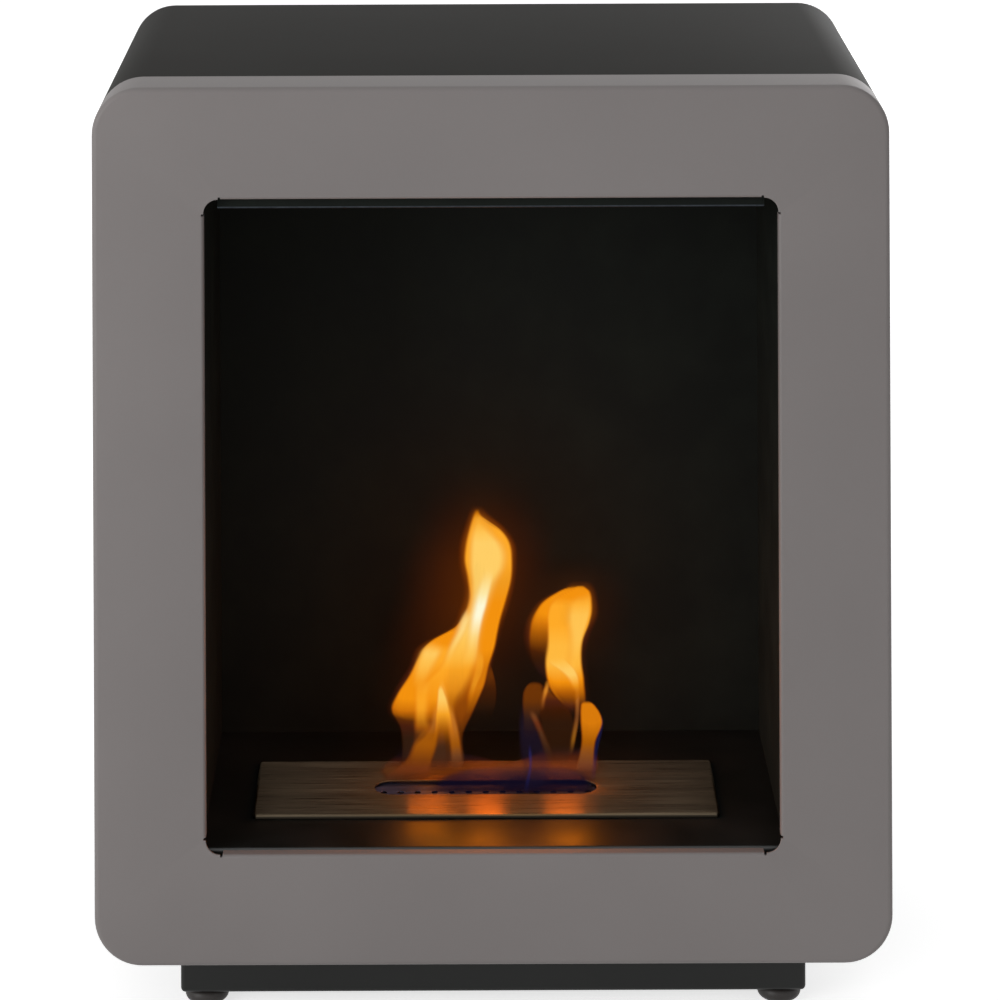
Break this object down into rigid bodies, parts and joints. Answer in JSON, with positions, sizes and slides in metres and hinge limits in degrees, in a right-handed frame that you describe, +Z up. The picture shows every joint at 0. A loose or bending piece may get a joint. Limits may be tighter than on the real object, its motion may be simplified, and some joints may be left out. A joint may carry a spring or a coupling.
{
  "type": "bioethanol fireplace",
  "caption": "Free-standing bioethanol fireplace: deep rounded steel casing, framed window, black firebox, lift-out slot burner, plinth on levelling feet.",
  "frame": {"origin": "on the floor, under the middle of the body's width and depth", "axes": "+Z up, the window faces -Y, +X to the right of someone facing the window from outside"},
  "size_m": [0.5, 0.3, 0.6],
  "materials": {
    "frame_grey": "warm grey fine-textured powder coat, satin",
    "sleeve_charcoal": "charcoal fine-textured powder coat, matte",
    "liner_black": "black heat-resistant paint, satin",
    "plinth_black": "black powder coat, satin",
    "stainless": "brushed stainless steel, grain along the length",
    "galvanised": "galvanised sheet steel, dull",
    "zinc": "bright zinc plating",
    "foot_plastic": "dark brown-black moulded plastic",
    "ceramic_wool": "off-white felted ceramic fibre"
  },
  "bodies": {
    "casing": {"front_frame": "frame_grey", "body_sleeve": "sleeve_charcoal", "joining_collar": "galvanised", "back_panel": "sleeve_charcoal", "back_screw_1": "zinc", "back_screw_2": "zinc", "back_screw_3": "zinc", "back_screw_4": "zinc", "back_screw_5": "zinc", "back_screw_6": "zinc", "back_screw_7": "zinc", "back_screw_8": "zinc", "firebox_floor": "liner_black", "firebox_back": "liner_black", "firebox_top": "liner_black", "firebox_left": "liner_black", "firebox_right": "liner_black", "top_deflector": "liner_black", "deflector_screw_left": "zinc", "deflector_screw_right": "zinc", "heat_shield": "galvanised", "spacer_back_left_lower": "zinc", "spacer_back_left_upper": "zinc", "spacer_back_right_lower": "zinc", "spacer_back_right_upper": "zinc", "spacer_top_left": "zinc", "spacer_top_right": "zinc", "floor_support_left": "galvanised", "floor_support_right": "galvanised", "liner_nut_left_lower": "zinc", "liner_nut_left_upper": "zinc", "liner_nut_right_lower": "zinc", "liner_nut_right_upper": "zinc", "liner_nut_top_left": "zinc", "liner_nut_top_right": "zinc", "plinth_skirt": "plinth_black", "plinth_bolt_front_left": "zinc", "plinth_bolt_front_right": "zinc", "plinth_bolt_rear_left": "zinc", "plinth_bolt_rear_right": "zinc", "plinth_nut_front_left": "zinc", "plinth_nut_front_right": "zinc", "plinth_nut_rear_left": "zinc", "plinth_nut_rear_right": "zinc", "foot_insert_front_left": "zinc", "foot_insert_front_right": "zinc", "foot_insert_rear_left": "zinc", "foot_insert_rear_right": "zinc"},
    "burner": {"burner_plate": "stainless", "burner_tray": "stainless", "burner_grid": "stainless", "wool_pad": "ceramic_wool"},
    "glide_front_left": {"foot_pad_front_left": "foot_plastic"},
    "glide_front_right": {"foot_pad_front_right": "foot_plastic"},
    "glide_rear_left": {"foot_pad_rear_left": "foot_plastic"},
    "glide_rear_right": {"foot_pad_rear_right": "foot_plastic"},
    "stud_front_left": {"foot_stud_front_left": "zinc"},
    "stud_front_right": {"foot_stud_front_right": "zinc"},
    "stud_rear_left": {"foot_stud_rear_left": "zinc"},
    "stud_rear_right": {"foot_stud_rear_right": "zinc"}
  },
  "joints": [
    {"name": "burner_lift", "type": "slide", "parent": "casing", "child": "burner", "axis": [0, 0, 1], "range_m": [0, 0.09]},
    {"name": "foot_front_left_travel", "type": "slide", "parent": "casing", "child": "glide_front_left", "axis": [0, 0, -1], "range_m": [0, 0.01]},
    {"name": "foot_front_right_travel", "type": "slide", "parent": "casing", "child": "glide_front_right", "axis": [0, 0, -1], "range_m": [0, 0.01]},
    {"name": "foot_rear_left_travel", "type": "slide", "parent": "casing", "child": "glide_rear_left", "axis": [0, 0, -1], "range_m": [0, 0.01]},
    {"name": "foot_rear_right_travel", "type": "slide", "parent": "casing", "child": "glide_rear_right", "axis": [0, 0, -1], "range_m": [0, 0.01]},
    {"name": "foot_front_left_turn", "type": "hinge", "parent": "glide_front_left", "child": "stud_front_left", "pos_m": [-0.184, -0.084, 0.02], "axis": [0, 0, -1], "range_deg": [0, 2880]},
    {"name": "foot_front_right_turn", "type": "hinge", "parent": "glide_front_right", "child": "stud_front_right", "pos_m": [0.184, -0.084, 0.02], "axis": [0, 0, -1], "range_deg": [0, 2880]},
    {"name": "foot_rear_left_turn", "type": "hinge", "parent": "glide_rear_left", "child": "stud_rear_left", "pos_m": [-0.184, 0.084, 0.02], "axis": [0, 0, -1], "range_deg": [0, 2880]},
    {"name": "foot_rear_right_turn", "type": "hinge", "parent": "glide_rear_right", "child": "stud_rear_right", "pos_m": [0.184, 0.084, 0.02], "axis": [0, 0, -1], "range_deg": [0, 2880]}
  ],
  "couplings": [
    {"joint": "foot_front_left_turn", "follows": "foot_front_left_travel", "rad_per_m": 5026.5},
    {"joint": "foot_front_right_turn", "follows": "foot_front_right_travel", "rad_per_m": 5026.5},
    {"joint": "foot_rear_left_turn", "follows": "foot_rear_left_travel", "rad_per_m": 5026.5},
    {"joint": "foot_rear_right_turn", "follows": "foot_rear_right_travel", "rad_per_m": 5026.5}
  ]
}
